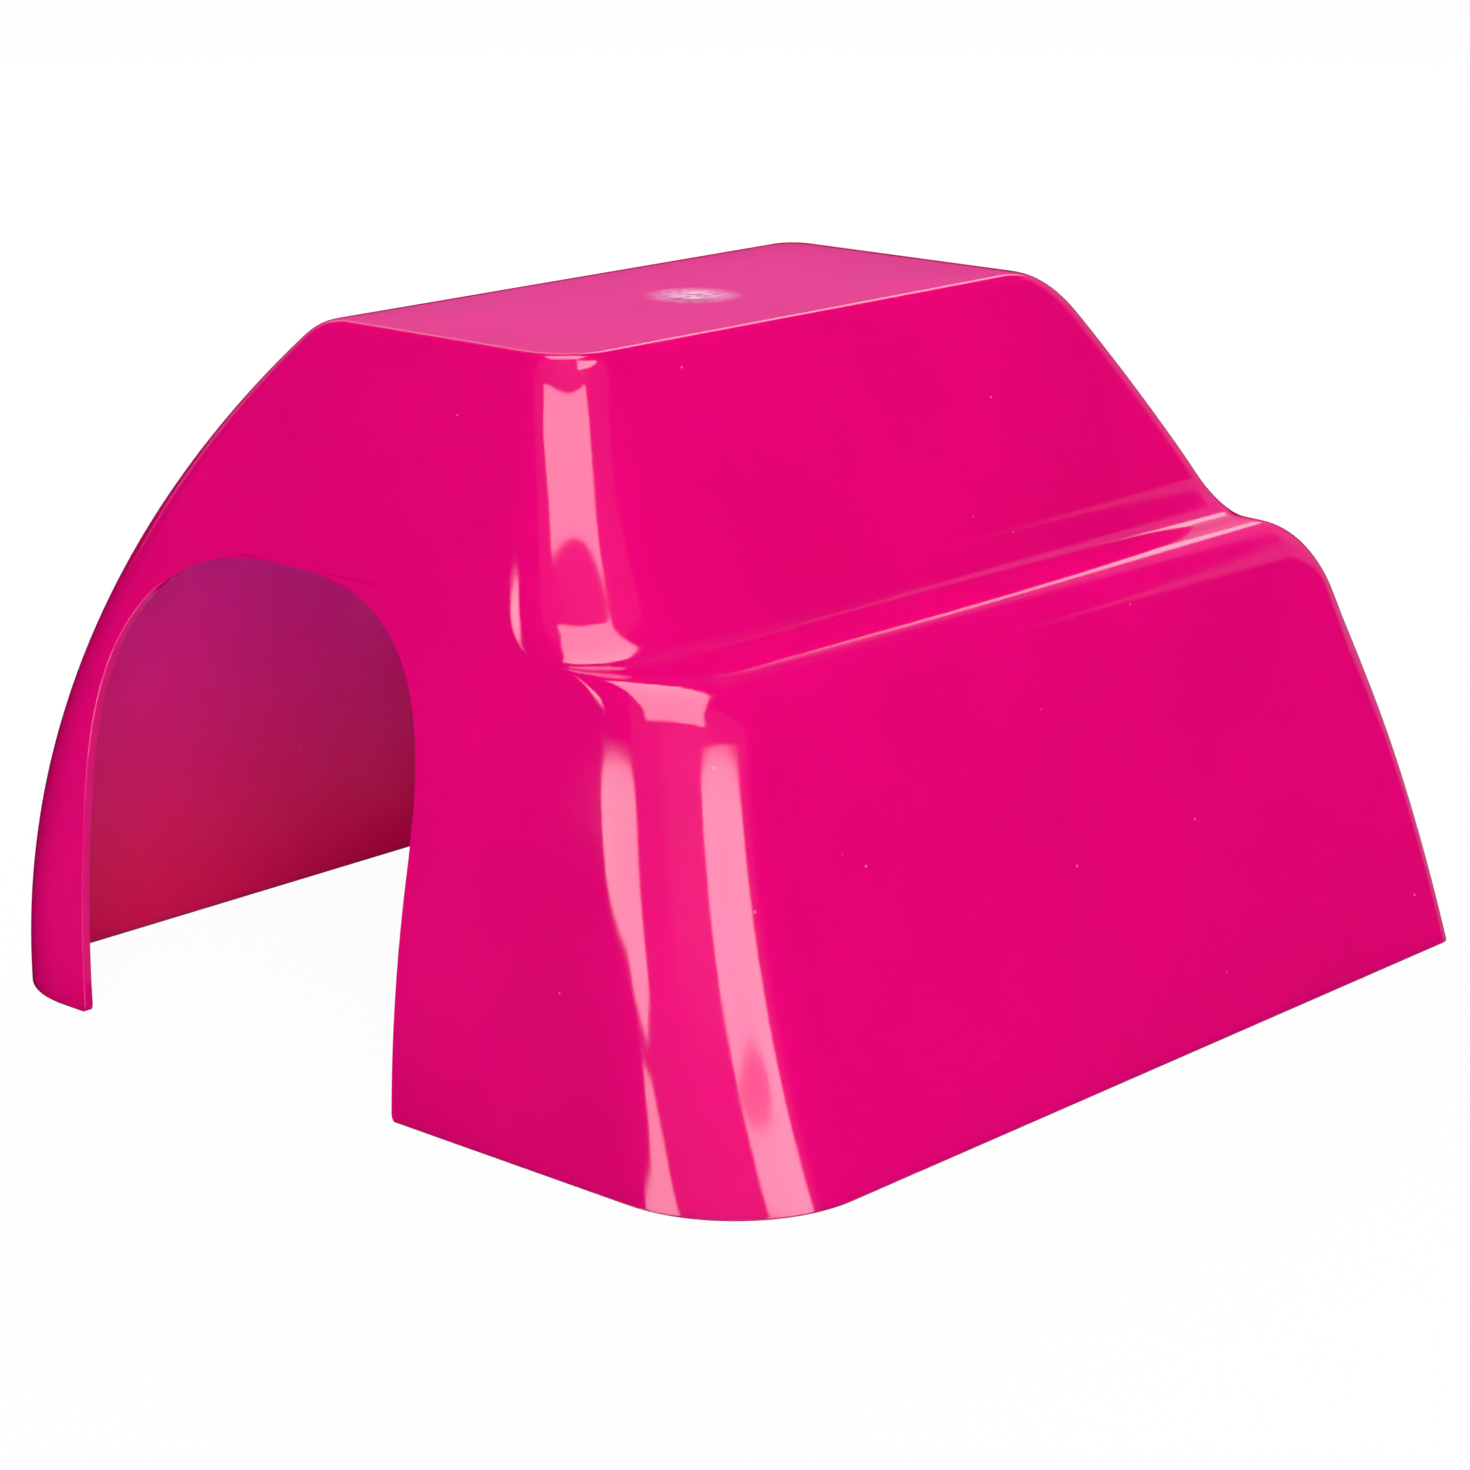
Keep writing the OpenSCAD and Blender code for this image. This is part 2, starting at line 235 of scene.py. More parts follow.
# Lengths over which the roll fades across the back, down the wall and above the tread
corner_gap, across_fade, least_fade = 0.004, 0.03, 0.012
wall_fade, bend_share = 0.055, 0.75
tread_gap, hollow_gap = 0.0005, 0.004
roll_full_x = step_inner - back_corner - corner_gap
roll_fade_x = roll_full_x - across_fade
print("the step's back end rolls down by", round(step_height - roll_foot, 4))


def eased(x, a, b):
    """Smooth change from 0 to 1 while x goes from a to b: t * t * (3 - 2 t)."""
    t = np.clip((x - a) / (b - a), 0, 1)
    return t * t * (3 - 2 * t)


def roll_drop(y, inset):
    """How far a circle of the step's back radius has fallen at y, r - sqrt(r^2 - ahead^2)."""
    r = step_back - inset
    reach = r * np.sin(roll_turn)
    ahead = np.clip(y - (back_wall(roll_foot, inset) - reach), 0, reach)
    return r - np.sqrt(r**2 - ahead**2)


def roll_share(z, inset):
    """Share of that fall which a height takes: none low on the wall, all on the tread."""
    edge_start = step_height - bend_share * step_edge
    hollow_top = step_height + bend_share * step_hollow + hollow_gap
    rising = eased(z, edge_start - wall_fade, edge_start)
    return rising * (1 - eased(z, step_height - inset - tread_gap, hollow_top))


# %% [markdown]
# ## The whole skin as a grid
#
# The skin is now a function of two parameters: the height, and the way round. At each height
# the outline is a rounded rectangle that starts at the right jamb and ends at the left one.
# Both front corners are soft at the foot and tight at the roof. The radius of the far one
# falls evenly. That of the one beside the step falls to the step, then a little more, and
# tightens just below the roof. Above the doorway the outline closes.


# %% Plan radius of the front corners
def far_corner_radius(z):
    """Radius of the corner beside the plain side: it falls evenly from the foot to the roof."""
    return front_corner_foot + (far_corner_roof - front_corner_foot) * z / roof_height


def near_corner_radius(z):
    """Radius of the corner beside the stepped side.

    Below the step, with low = 1 - z / step height: r = step radius + (foot - step) low^2.
    Above it, with high = the share of the way to the roof, it loses the pinch over the first
    half and falls to the roof's radius with a high power of high, so mostly just below it.
    """
    low = np.clip(1 - z / step_height, 0, 1)
    high = np.clip((z - step_height) / (roof_height - step_height), 0, 1)
    early = corner_pinch * eased(high, 0, pinch_share)
    late = (near_corner_step - corner_pinch - near_corner_roof) * high**tightening
    return near_corner_step + (front_corner_foot - near_corner_step) * low**2 - early - late


five_heights = np.array([0, step_height / 2, step_height, 0.9 * roof_height, roof_height])
print("heights", five_heights.round(3))
print("far corner radii", far_corner_radius(five_heights).round(4))
print("near corner radii", near_corner_radius(five_heights).round(4))


# %% Places round the outline
# Above the doorway the outline's ends spread to this share from each corner
spread_rise, spread_share = 0.006, 0.35
run_margin = 0.003


def part_way(count):
    """Shares from 0 up to, but not including, 1."""
    return np.arange(count) / count


def straight(x0, y0, x1, y1, count):
    """Points of a straight, a + (b - a) * share, without its last one."""
    share = part_way(count)
    return x0 + (x1 - x0) * share, y0 + (y1 - y0) * share


def turned(x, y, r, first, count):
    """Points of a quarter circle from the angle first, middle + radius * (cos, sin)."""
    angle = np.radians(first + 90 * part_way(count))
    return x + r * np.cos(angle), y + r * np.sin(angle)


# %% The outline at every height
def outline(z, near, inset):
    """Grid of points (row, way round, xyz) of one skin at the heights z.

    near is the distance of the stepped side at those heights. The outline is a chain of
    straights and quarter circles, each with its number of points last. Above the doorway its
    two ends spread apart, so that the faces there are about as wide as their neighbours.
    """
    z, near = z[:, None], near[:, None]
    far, front, back = far_wall(z, inset), door_wall(z, inset), back_wall(z, inset)
    far_corner, near_corner = far_corner_radius(z) - inset, near_corner_radius(z) - inset
    rear = back_corner - inset
    half = jamb(np.minimum(z, door_height))
    above = np.clip((z - door_height) / spread_rise, 0, 1)
    start, stop = far_corner - far, near - near_corner
    spread = (stop - start) * spread_share
    left = (door_middle - half) * (1 - above) + (start + spread) * above
    right = (door_middle + half) * (1 - above) + (stop - spread) * above
    run = step_back * np.sin(roll_turn) - back_corner + run_margin
    full_x = np.minimum(roll_full_x, near - rear - corner_gap)
    fade_x = np.minimum(roll_fade_x, full_x - least_fade)
    stretches = [
        straight(right, -front, stop, -front, 4),
        turned(stop, near_corner - front, near_corner, 270, 36),
        straight(near, near_corner - front, near, back - rear - run, 6),
        straight(near, back - rear - run, near, back - rear, 12),
        turned(near - rear, back - rear, rear, 0, 14),
        straight(near - rear, back, full_x, back, 5),
        straight(full_x, back, fade_x, back, 10),
        straight(fade_x, back, rear - far, back, 5),
        turned(rear - far, back - rear, rear, 90, 14),
        straight(-far, back - rear, -far, far_corner - front, 6),
        turned(start, far_corner - front, far_corner, 180, 30),
        straight(start, -front, left, -front, 4),
        (left, -front),
    ]
    column = np.zeros((len(z), 1))
    x = np.hstack([stretch[0] + column for stretch in stretches])
    y = np.hstack([stretch[1] + column for stretch in stretches])
    drop = roll_drop(y, inset) * roll_share(z, inset) * eased(x, roll_fade_x, roll_full_x)
    beside = 1 - eased(near - x, 0, rear)
    behind = eased(y, back - rear, back)
    x = x + drop * beside * (half_width - step_outer) / step_height
    y = y + behind * (back_wall(z - drop, inset) - back)
    return np.stack([x, y, z - drop], axis=2)


# %% [markdown]
# ## Rows where the surface bends
#
# Rows at even heights would waste faces on flat walls and miss the tread, which rises less
# than a millimetre over its whole width. So the heights come from the shape: even ones for
# the walls, the arch's own, and every point of the bends. The inside and the outside share
# them up to the doorway's crown, so that the cut edge of the doorway is a clean strip.


# %% Heights of the rows
# How many rows each stretch gets, how close they may come, and where the bends' rows end
wall_rows, arch_rows, flare_rows, upper_count, round_rows = 30, 44, 5, 26, 18
row_gap, upper_gap, last_gap = 0.00004, 0.00002, 0.000001
clear_of_foot, clear_of_crown, round_share = 0.004, 0.0003, 0.7


def spaced(values, gap):
    """Rising values without those that follow closer than gap."""
    values = np.sort(values)
    return values[np.insert(np.diff(values) > gap, 0, True)]


def section_x(section, z):
    """Distance of the stepped side at the heights z, straight between its points."""
    return np.interp(z, section[:, 1], section[:, 0])


even = np.linspace(0, arch_start, wall_rows)
arch = arch_start + (door_height - arch_start) * np.sin(np.radians(90 * part_way(arch_rows)))
flare = jamb_foot * (1 - np.cos(np.radians(np.linspace(0, 90, flare_rows))))
bends = np.concatenate([outer_section[1:-1, 1], inner_section[1:-1, 1]])
bends = bends[(bends > clear_of_foot) & (bends < door_height - clear_of_crown)]
shared = np.append(spaced(np.concatenate([even, arch, flare, bends]), row_gap), door_height)


def upper_rows(section, top):
    """Heights from the doorway's crown to the top, closer where the roof's edges turn."""
    even = door_height + (top - door_height) * np.linspace(0, 1, upper_count)[1:]
    rounds = top - round_share * back_edge * part_way(round_rows) ** 2
    bends = section[section[:, 1] > door_height + clear_of_crown, 1]
    rows = spaced(np.concatenate([even, rounds, bends[bends < top - last_gap]]), upper_gap)
    return np.append(rows[rows < top - last_gap], top)


outside_z = np.concatenate([shared, upper_rows(outer_section, roof_height)])
inside_z = np.concatenate([shared, upper_rows(inner_section, roof_height - wall)])
outside = outline(outside_z, section_x(outer_section, outside_z), 0.0)
inside = outline(inside_z, section_x(inner_section, inside_z), wall)
print("outside grid", outside.shape, "inside grid", inside.shape)

# %% [markdown]
# ## The moulding mark on the roof
#
# Where the plastic was injected, the roof has a shallow dish with a small nub in it, and
# three tiny pits in a row. They could be painted, but only real depth catches the light as
# the photo shows. The dish continues the same grid: the roof's outline runs in to a circle,
# and the circle runs in to the middle.

# %% Sizes of the mark
mark_middle = np.array([-0.001, -0.010])
dish_radius, dish_depth = 0.0092, 0.00032
nub_radius, nub_height = 0.0024, 0.0002
pit_gap, pit_radius, pit_depth = 0.0021, 0.00042, 0.00022
pit_row = np.radians(42)
mark_circles = 33


# %% Height of the roof inside the mark
def mark_height(x, y):
    """Height over the roof plane: a dish that is a cosine bowl, a nub that is a smooth hill
    and three pits, each a bell-shaped hole exp(-(distance / radius)^2)."""
    r = np.hypot(x, y)
    dish = -dish_depth * (0.5 + 0.5 * np.cos(np.pi * np.clip(r / dish_radius, 0, 1)))
    nub = nub_height * (1 - eased(r, 0.5 * nub_radius, 1.6 * nub_radius))
    height = dish + nub
    for place in (-pit_gap, 0, pit_gap):
        away = np.hypot(x - place * np.cos(pit_row), y - place * np.sin(pit_row))
        height = height - pit_depth * np.exp(-(away / pit_radius) ** 2)
    return height


def mark_rings(edge_ring):
    """Circles of the mark, one point for each point of the roof's outline.

    The points are evenly spaced and turned to face the outline's points as well as they can.
    """
    count = len(edge_ring)
    toward = np.unwrap(np.arctan2(*(edge_ring[:, :2] - mark_middle).T[::-1]))
    turn = 2 * np.pi * np.arange(count) / count
    turn = turn + np.mean(toward - turn)
    radii = dish_radius * (1 - part_way(mark_circles))
    x, y = (radii[:, None] * f(turn) for f in (np.cos, np.sin))
    z = roof_height + mark_height(x, y)
    return np.stack([x + mark_middle[0], y + mark_middle[1], z], axis=2)


mark = mark_rings(outside[-1])
outside = np.concatenate([outside, mark])
print("mark", mark.shape, "deepest", (mark[..., 2].min() - roof_height).round(5))

# %% [markdown]
# ## From grids to one closed mesh
#
# The two grids become quads row by row. The doorway is left out below its crown, and the cut
# edges are strips between the skins: the foot, both jambs and the crown. The corners of each
# face run anticlockwise seen from outside, so every normal points out of the plastic.


# %% Faces of the skins and of the cut edges
def quads(a, b, c, d):
    """Rows of four corners, from four arrays of vertex numbers."""
    return np.stack([a, b, c, d], axis=-1).reshape(-1, 4)


def skin_faces(numbers, crown, outward):
    """Quads between neighbours of a grid that closes round, open at the doorway."""
    here, after = numbers, np.roll(numbers, -1, axis=1)
    cells = np.stack([here[:-1], after[:-1], after[1:], here[1:]], axis=-1)
    keep = np.ones(cells.shape[:2], bool)
    keep[:crown, -1] = False
    cells = cells[keep]
    return cells if outward else cells[:, ::-1]


ceiling_middle = np.array([(roof_near - roof_far) / 2, (roof_back - roof_front) / 2])
rows_out, around = outside.shape[:2]
rows_in = inside.shape[0]
crown = len(shared) - 1
out_numbers = np.arange(rows_out * around).reshape(rows_out, around)
in_numbers = rows_out * around + np.arange(rows_in * around).reshape(rows_in, around)
points = np.vstack([
    outside.reshape(-1, 3),
    inside.reshape(-1, 3),
    [[*mark_middle, roof_height + mark_height(0.0, 0.0)], [*ceiling_middle, roof_height - wall]],
])
top_point, ceiling_point = len(points) - 2, len(points) - 1

foot_out, foot_in = out_numbers[0], in_numbers[0]
foot_rim = quads(foot_out[1:], foot_out[:-1], foot_in[:-1], foot_in[1:])
right_out, right_in = out_numbers[: crown + 1, 0], in_numbers[: crown + 1, 0]
left_out, left_in = out_numbers[: crown + 1, -1], in_numbers[: crown + 1, -1]
right_jamb = quads(right_out[:-1], right_out[1:], right_in[1:], right_in[:-1])
left_jamb = quads(left_out[:-1], left_in[:-1], left_in[1:], left_out[1:])
crown_edge = quads(left_out[-1:], left_in[-1:], right_in[-1:], right_out[-1:])
last_out, last_in = out_numbers[-1], in_numbers[-1]
mark_cap = np.stack([last_out, np.roll(last_out, -1), np.full(around, top_point)], axis=1)
ceiling_cap = np.stack([np.roll(last_in, -1), last_in, np.full(around, ceiling_point)], axis=1)

outer_faces = skin_faces(out_numbers, crown, True)
inner_faces = skin_faces(in_numbers, crown, False)
edge_faces = np.vstack([foot_rim, right_jamb, left_jamb, crown_edge])
print("faces outside", len(outer_faces), "inside", len(inner_faces), "cut edges", len(edge_faces))


# %% The mesh in Blender
def new_piece(name, verts, *face_groups):
    """One mesh object from points and groups of faces, each group with its own material slot."""
    faces = [face for group in face_groups for face in group.tolist()]
    mesh = bpy.data.meshes.new(name)
    mesh.from_pydata(verts.tolist(), [], faces)
    slots = np.concatenate([np.full(len(group), i) for i, group in enumerate(face_groups)])
    mesh.polygons.foreach_set("material_index", slots.astype(np.int32))
    mesh.polygons.foreach_set("use_smooth", np.ones(len(faces), bool))
    mesh.validate()
    mesh.update()
    piece = bpy.data.objects.new(name, mesh)
    bpy.context.collection.objects.link(piece)
    return piece


shell = new_piece("moulded_shell", points, outer_faces, mark_cap, inner_faces, ceiling_cap, edge_faces)
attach(shell, "root")
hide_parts("house_shell")

# %% [markdown]
# ## The softened cut edge
#
# A mould never leaves a knife edge. The rim of the doorway and of the foot has a round of a
# few tenths of a millimetre, which shows as the light line round the arch. A Bevel modifier
# that acts only on sharp angles finds exactly those edges.

# %% Small rounds on the rim
edge_round = shell.modifiers.new("rim round", "BEVEL")
edge_round.width = 0.0003
edge_round.segments = 3
edge_round.limit_method = "ANGLE"
edge_round.angle_limit = np.radians(55)
edge_round.use_clamp_overlap = False
edge_round.harden_normals = True

# %% [markdown]
# ## Glossy pink plastic
#
# The colour is dyed through and very strong, so the diffuse part has almost no green. On top
# lies the clear reflection of the mould-polished surface. Real mouldings aren't perfect:
# the skin has faint waves that make reflections swim, a few dust specks, and a slightly
# uneven gloss. Round the mark on the roof a pale, blotched ring is painted into the colour,
# a painted highlight that stands for the shine of the shallow dish there.
#
# The inside of the mould is less polished, so the cabin's walls are satin. Their colour is
# painted redder and darker near the ground and more violet under the roof: painted shade low
# in the cabin, and painted light that stands for light through the roof. Each of these
# effects is one mask that blends two colours, so they are built by the same small helpers.


# %% Helpers that add nodes to a tree
black, white = (0.0, 0.0, 0.0), (1.0, 1.0, 1.0)


def grey(value):
    """Colour with the same value in its three channels."""
    return (value,) * 3


def node_math(tree, operation, *values):
    """Math node; each value is a number or another node's output."""
    node = tree.nodes.new("ShaderNodeMath")
    node.operation = operation
    for socket, value in zip(node.inputs, values):
        if isinstance(value, (int, float)):
            socket.default_value = value
        else:
            tree.links.new(value, socket)
    return node.outputs["Value"]


def node_ramp(tree, value, low, high, colour_at_low, colour_at_high):
    """Colour that changes evenly while the value goes from low to high."""
    node = tree.nodes.new("ShaderNodeValToRGB")
    first, second = node.color_ramp.elements
    first.position, second.position = low, high
    first.color, second.color = (*colour_at_low, 1), (*colour_at_high, 1)
    tree.links.new(value, node.inputs["Fac"])
    return node.outputs["Color"]


def node_blend(tree, mask, colour_a, colour_b):
    """Blend of two colours, A where the mask is 0; each is three numbers or an output."""
    node = tree.nodes.new("ShaderNodeMix")
    node.data_type = "RGBA"
    tree.links.new(mask, node.inputs["Factor"])
    for socket, colour in (("A", colour_a), ("B", colour_b)):
        if isinstance(colour, tuple):
            node.inputs[socket].default_value = (*colour, 1)
        else:
            tree.links.new(colour, node.inputs[socket])
    return node.outputs["Result"]


def node_noise(tree, place, scale, detail):
    """Noise with about scale waves to a metre and detail finer layers on top."""
    node = tree.nodes.new("ShaderNodeTexNoise")
    node.inputs["Scale"].default_value = scale
    node.inputs["Detail"].default_value = detail
    tree.links.new(place, node.inputs["Vector"])
    return node.outputs["Fac"]


# %% Masks of the specks and of the painted highlight ring round the mark
# Each mask changes between the two values of its pair, the ring's in metres from its middle
specks_per_metre, speck_reach, speck_share = 180, (0.035, 0.07), (0.80, 0.84)
ring_inside, ring_outside, inside_shine = (0.0012, 0.0035), (0.0058, 0.0098), 0.8
blotch_scale, blotch_range, blotch_shine = 420, (0.35, 0.60), (0.35, 0.95)
# Pale colour of the painted highlight ring round the mark
painted_shine_colour = (0.97, 0.60, 0.80)


def speck_mask(tree, place):
    """1 close to the points of a Voronoi pattern, but only to the few with a bright cell."""
    cells = tree.nodes.new("ShaderNodeTexVoronoi")
    cells.inputs["Scale"].default_value = specks_per_metre
    tree.links.new(place, cells.inputs["Vector"])
    near_point = node_ramp(tree, cells.outputs["Distance"], *speck_reach, white, black)
    rare = node_ramp(tree, cells.outputs["Color"], *speck_share, black, white)
    return node_math(tree, "MULTIPLY", near_point, rare)


def painted_shine_mask(tree, place):
    """Painted highlight round the mark, a rise and a fall with the distance from it, times blotches.
    """
    away = tree.nodes.new("ShaderNodeVectorMath")
    away.operation = "DISTANCE"
    away.inputs[1].default_value = (*mark_middle.tolist(), roof_height)
    tree.links.new(place, away.inputs[0])
    rise = node_ramp(tree, away.outputs["Value"], *ring_inside, grey(inside_shine), white)
    fall = node_ramp(tree, away.outputs["Value"], *ring_outside, white, black)
    blotch = node_noise(tree, place, blotch_scale, 2)
    uneven = node_ramp(tree, blotch, *blotch_range, *(grey(shine_level) for shine_level in blotch_shine))
    return node_math(tree, "MULTIPLY", node_math(tree, "MULTIPLY", rise, fall), uneven)


# %% A plastic with waves, specks and uneven gloss
# A scale is how many waves a noise has to a metre, and the two heights are in metres:
# between them the inside's painted shade fades into its painted light.
drift_scale, drift_range, drift_deeper, drift_lighter = 22, (0.35, 0.65), 0.95, 1.03
rough_scale, rough_range, smoother, rougher = 70, (0.3, 0.7), 0.85, 1.2
wave_scale, shade_fade_bottom, shade_fade_top = 140, 0.02, 0.10


def plastic(name, colour, roughness, wave_height, speck_colour, painted_shade_below=None):
    """Principled plastic whose colour drifts a little over its surface.

    Its roughness drifts too, and a fine noise bumps it by wave_height. The specks and the
    pale ring round the mark, a painted highlight, are blended over the colour. Given a colour
    for low down, the colour changes from that darker, redder one near the ground to the other
    one farther up: painted shade low on the walls and painted light under the roof.
    """
    made = bpy.data.materials.new(name)
    made.use_nodes = True
    tree = made.node_tree
    surface = tree.nodes["Principled BSDF"]
    place = tree.nodes.new("ShaderNodeTexCoord").outputs["Object"]

    deeper = tuple(channel * drift_deeper for channel in colour)
    lighter = tuple(min(channel * drift_lighter, 1) for channel in colour)
    base = node_ramp(tree, node_noise(tree, place, drift_scale, 3), *drift_range, deeper, lighter)
    # Painted shade and light by height: the lower colour low on the walls, the other one farther up.
    if painted_shade_below:
        height = tree.nodes.new("ShaderNodeSeparateXYZ")
        tree.links.new(place, height.inputs["Vector"])
        higher = node_ramp(tree, height.outputs["Z"], shade_fade_bottom, shade_fade_top, black, white)
        base = node_blend(tree, higher, painted_shade_below, base)
    base = node_blend(tree, speck_mask(tree, place), base, speck_colour)
    # The pale ring round the mark is a painted highlight, the shine of its glossy dish.
    base = node_blend(tree, painted_shine_mask(tree, place), base, painted_shine_colour)
    tree.links.new(base, surface.inputs["Base Color"])

    rough = node_ramp(tree, node_noise(tree, place, rough_scale, 4), *rough_range,
                      grey(roughness * smoother), grey(roughness * rougher))
    tree.links.new(rough, surface.inputs["Roughness"])
    bump = tree.nodes.new("ShaderNodeBump")
    bump.inputs["Strength"].default_value = 1
    bump.inputs["Distance"].default_value = wave_height
    tree.links.new(node_noise(tree, place, wave_scale, 5), bump.inputs["Height"])
    tree.links.new(bump.outputs["Normal"], surface.inputs["Normal"])
    surface.inputs["IOR"].default_value = 1.49
    surface.inputs["Subsurface Weight"].default_value = 0.4
    surface.inputs["Subsurface Radius"].default_value = (1.0, 0.12, 0.45)
    surface.inputs["Subsurface Scale"].default_value = 0.006
    return made


# %% The two finishes of the house, the inside's colour with painted light and shade
gloss_pink = plastic("gloss pink", (0.82, 0.0008, 0.193), 0.09, 0.000012, (0.95, 0.25, 0.5))
# The inside's colour is painted: darker and redder near the ground as painted shade, more violet under
# the roof as painted light.
satin_painted_light_and_shade = plastic("satin pink, painted light and shade", (0.80, 0.001, 0.34), 0.42, 0.00004, (0.9, 0.1, 0.3),
                     painted_shade_below=(0.74, 0.004, 0.11))
for material in (gloss_pink, gloss_pink, satin_painted_light_and_shade, satin_painted_light_and_shade, gloss_pink):
    shell.data.materials.append(material)
print("finishes of the outside, its mark, the inside, the ceiling and the cut edges:",
      [material.name for material in shell.data.materials])

# %% [markdown]
# ## The camera
#
# One camera was fitted to the outline in the photo. It looks from the front right corner and
# a little above, from about 95 cm away with a long lens.

# %% Camera at the photo's place
view_turn, view_rise = np.radians(42.12), np.radians(15.71)
view_distance, view_height = 0.94922, 0.060
slide_right, slide_up = 0.00211, -0.0044
focal_pixels, photo_pixels = 3992.36, 1470
forward = np.array([-np.sin(view_turn) * np.cos(view_rise), np.cos(view_turn) * np.cos(view_rise),
                    -np.sin(view_rise)])
right = np.array([np.cos(view_turn), np.sin(view_turn), 0])
up = np.cross(right, forward)
eye = np.array([0, 0, view_height]) - forward * view_distance + right * slide_right + up * slide_up

camera_data = bpy.data.cameras.new("camera")
camera_data.sensor_width = 36
camera_data.lens = focal_pixels / photo_pixels * camera_data.sensor_width
camera_data.clip_start = 0.05
camera = bpy.data.objects.new("camera", camera_data)
facing = Matrix((right, up, -forward)).transposed().to_4x4()
camera.matrix_world = Matrix.Translation(eye) @ facing
bpy.context.collection.objects.link(camera)
bpy.context.scene.camera = camera
print("lens", round(camera_data.lens, 1), "eye", eye.round(3))

# %% [markdown]
# ## Floor, backdrop and light
#
# The photo is a cut-out on white, shot in a dark studio with tall softboxes left and right.
# The floor is a pale plane, and the camera sees it and the world behind it as white. Soft
# lamps that don't show in the gloss give the even light, and separate bright cards give the
# reflections. With the two apart, each can be set by itself: the lamps for the colour, the
# cards for the bright strips. A black box far outside the cards is the dark studio, and
# keeps the white world out of the gloss.


# %% Bright cards that the gloss mirrors
front_corner = np.array([0.08, -0.11, 0.08])


def mirrored_only(name, strength, colour):
    """Emission that shows at full strength in reflections and gives no other light."""
    made = bpy.data.materials.new(name)
    made.use_nodes = True
    tree = made.node_tree
    tree.nodes.clear()
    glow = tree.nodes.new("ShaderNodeEmission")
    glow.inputs["Color"].default_value = (*colour, 1)
    path = tree.nodes.new("ShaderNodeLightPath")
    shown = node_math(tree, "MULTIPLY", path.outputs["Is Glossy Ray"], strength)
    tree.links.new(shown, glow.inputs["Strength"])
    output = tree.nodes.new("ShaderNodeOutputMaterial")
    tree.links.new(glow.outputs["Emission"], output.inputs["Surface"])
    return made


def plain_piece(name, points, faces):
    """Mesh object from points and faces, linked to the scene."""
    mesh = bpy.data.meshes.new(name)
    mesh.from_pydata(points, [], faces)
    made = bpy.data.objects.new(name, mesh)
    bpy.context.collection.objects.link(made)
    return made


def gloss_sees(piece, strength, colour):
    """Glow that only the gloss sees: no camera, diffuse light or shadow meets the piece."""
    piece.data.materials.append(mirrored_only(piece.name, strength, colour))
    piece.visible_camera = False
    piece.visible_diffuse = False
    piece.visible_shadow = False


def direction(turn, rise):
    """Unit vector of angles in radians: (sin turn cos rise, -cos turn cos rise, sin rise).

    A turn is counted from the camera's own, to the right as seen from the house.
    """
    turn = turn + view_turn
    level = np.cos(rise)
    return np.stack([np.sin(turn) * level, -np.cos(turn) * level, np.sin(rise)], axis=-1)


def card(name, corners, distance, strength, colour=(1, 1, 1)):
    """Fan of triangles whose corners lie at a distance from the near front corner of the
    house, each in the direction of its (turn, rise) in degrees."""
    turn, rise = np.radians(np.array(corners, float)).T
    rim = front_corner + distance * direction(turn, rise)
    count = len(rim)
    fan = [(i, (i + 1) % count, count) for i in range(count)]
    made = plain_piece(name, rim.tolist() + [rim.mean(axis=0).tolist()], fan)
    gloss_sees(made, strength, colour)
    print(name, count, "corners", distance, "m away")


# %% The softboxes in front of the house
card("left softbox", [(-81.6, 6.5), (-81, 3), (-78, 0.5), (-68, 0.5), (-59, 1), (-55.5, -1.5),
                      (-47.5, -3), (-41.5, 2.7), (-42.5, 6), (-44, 10), (-45, 16), (-46, 18.3),
                      (-50, 19), (-55, 17.8), (-62, 15.8), (-70, 13), (-78, 9.5)], 6, 7.0)
card("left softbox's foot", [(-53.5, -6.5), (-47, -6.5), (-43.5, -10.7), (-42, -14.2),
                             (-39, -17), (-42, -22), (-68, -24), (-67, -20), (-58, -16.5),
                             (-54.5, -12)], 6, 6.0)
card("right softbox", [(19.5, 26), (19.5, 13), (22, 5), (25, -3), (58, -1), (58, 9), (58, 17),
                       (56, 20), (50, 22.1), (42, 24.6), (35.5, 25.9), (30, 26.6),
                       (23, 26.9)], 6, 7.5)
card("stand by the window", [(39, 8.8), (46, 7.8), (49, 6.8), (46, 5.4), (40, 4.2), (27, 3.0),
                             (21, 4.6), (24, 6.2), (31, 7.8)], 5, 2.4)
card("high softbox", [(-36, 44), (-28, 47), (-18, 50.5), (-6, 53), (8, 53.5), (20, 51.5),
                      (31, 47.5), (34, 54), (42, 62), (120, 70), (170, 65), (-160, 64),
                      (-120, 66), (-82, 69), (-50, 60), (-38, 53)], 6, 6.0)
card("small softbox", [(-84.6, 16), (-80, 17.5), (-75.5, 20), (-75, 24), (-79, 22.5),
                       (-84, 18.5)], 6, 8.0)

# %% The dim room, and the wall and window behind the house
pale_violet = (0.9, 0.6, 1.0)
card("room", [(-45, -20), (60, -20), (70, 30), (60, 70), (0, 80), (-60, 70), (-50, 30)],
     16, 0.15)
card("back wall", [(130, 5), (130, 30), (180, 36), (230, 30), (230, 5)],
     14, 0.39, (0.94, 0.41, 1.0))
card("window behind", [(163, 19), (163, 32), (180, 32), (180, 19)], 3, 2.2)
card("window's dim part", [(180, 19), (180, 32), (203, 32), (203, 19)], 3, 0.8)
card("window's sill", [(163, 14.5), (163, 19), (203, 19), (203, 14.5)], 3, 0.45)
card("right back wall", [(112, -10), (112, 30), (130, 34), (150, 34), (150, -10)],
     5, 0.45, pale_violet)

